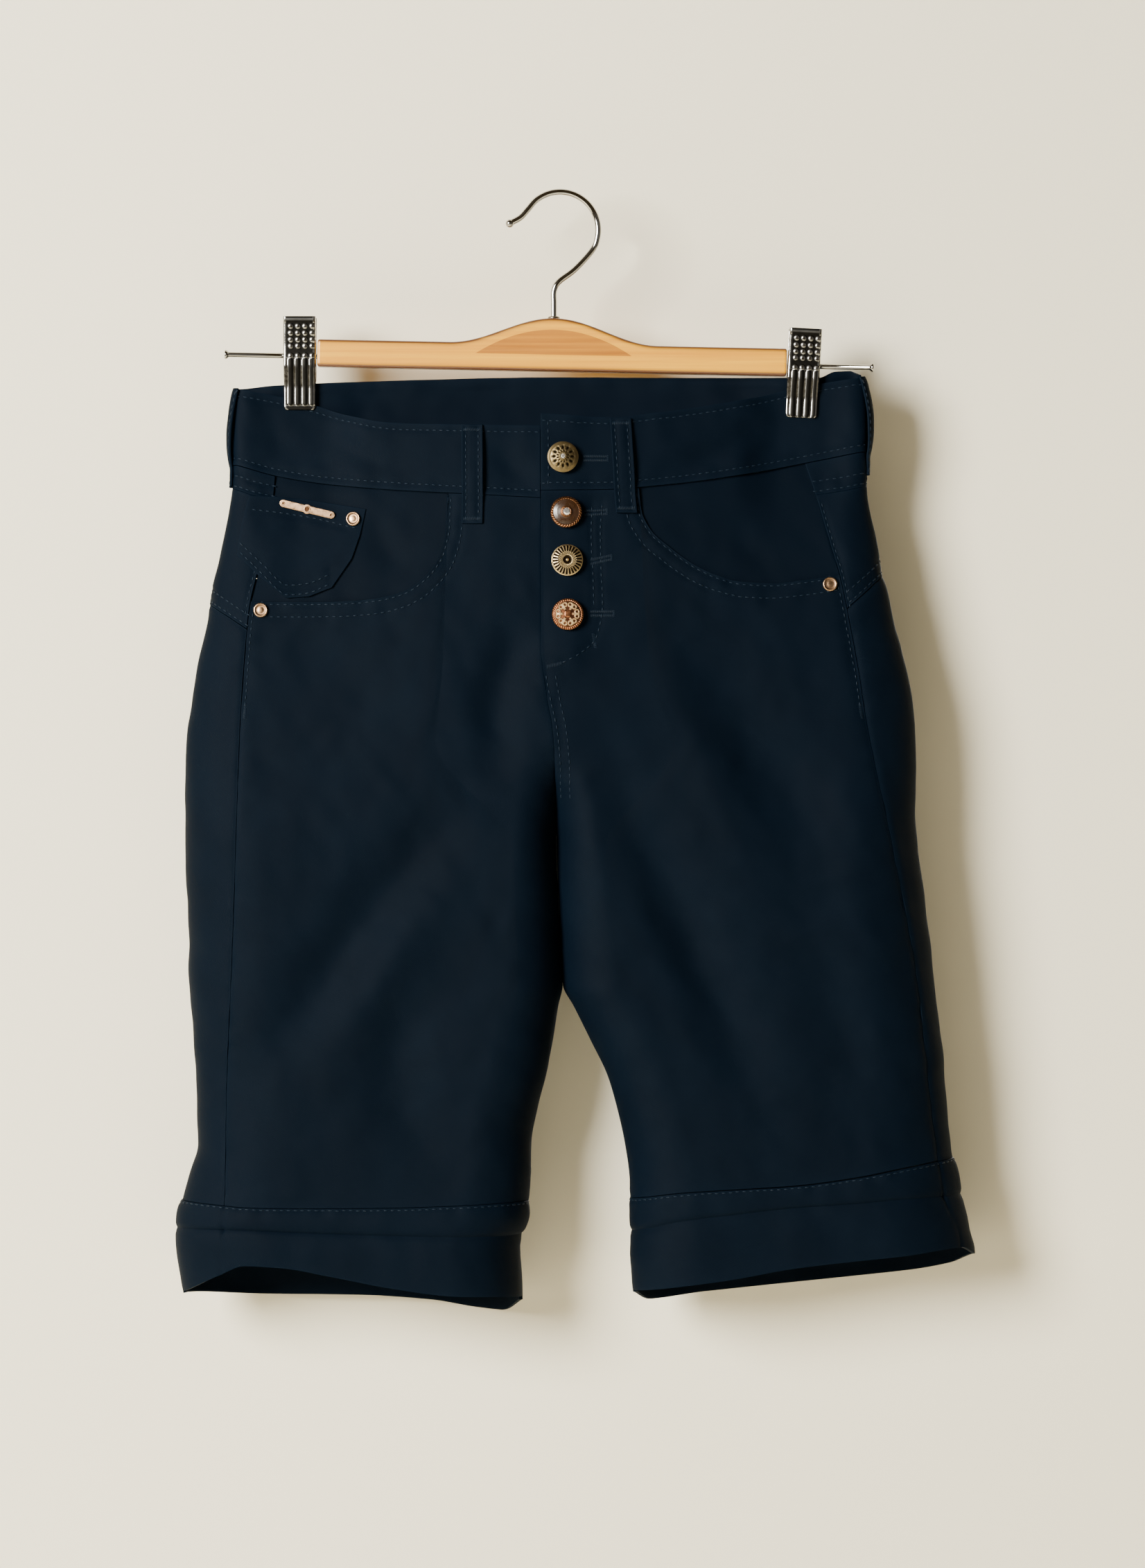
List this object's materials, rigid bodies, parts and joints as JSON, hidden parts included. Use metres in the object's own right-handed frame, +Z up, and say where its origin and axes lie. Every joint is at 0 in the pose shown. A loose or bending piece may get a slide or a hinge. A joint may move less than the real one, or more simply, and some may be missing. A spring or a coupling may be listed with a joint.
{
  "type": "bermuda shorts on a clip hanger",
  "caption": "Knee-length five-pocket cotton shorts with a button fly and creased hem cuffs, hanging from a wooden bar hanger with metal clips.",
  "frame": {"origin": "inner top of the hanger's hook, where a rail or wall hook carries it", "axes": "+Z up, +X across the front to the viewer's right, the front faces -Y"},
  "size_m": [0.4361, 0.0618, 0.611],
  "materials": {
    "cloth": "navy cotton satin twill, soft sheen",
    "facing": "navy cotton satin twill, soft sheen",
    "antique_gold": "aged, dark in the hollows",
    "brown_enamel": "brown enamel in a copper rope rim",
    "pale_gold": "ribbed, aged",
    "copper": "beaded, aged",
    "rose_metal": "satin rose gold",
    "wood": "clear satin varnish",
    "wood_inlay": "clear satin varnish, fine grain",
    "chrome": "polished"
  },
  "bodies": {
    "root": {"front_panel_R": "cloth", "front_panel_L": "cloth", "back_panel_R": "cloth", "back_panel_L": "cloth", "back_yoke_R": "cloth", "back_yoke_L": "cloth", "back_band_R": "cloth", "back_band_L": "cloth", "waistband_front_R": "cloth", "waistband_front_L": "cloth", "waistband_back": "cloth", "coin_pocket": "cloth", "cuff_R": "cloth", "cuff_L": "cloth", "belt_loop_front_R": "cloth", "belt_loop_front_L": "cloth", "belt_loop_side_R": "cloth", "belt_loop_side_L": "cloth", "belt_loop_back": "cloth", "fly_underlay": "facing", "pocket_facing_R": "facing", "pocket_facing_L": "facing", "button_1": "antique_gold", "button_2": "brown_enamel", "button_3": "pale_gold", "button_4": "copper", "rivet_pocket_R": "rose_metal", "rivet_pocket_L": "rose_metal", "rivet_coin": "rose_metal", "plate": "rose_metal", "hanger_bar": "wood", "hanger_inlay": "wood_inlay", "hanger_hook": "chrome", "hanger_rod_R": "chrome", "hanger_rod_L": "chrome", "clip_front_R": "chrome", "clip_back_R": "chrome", "clip_spring_R": "chrome", "clip_front_L": "chrome", "clip_back_L": "chrome", "clip_spring_L": "chrome"}
  },
  "joints": []
}
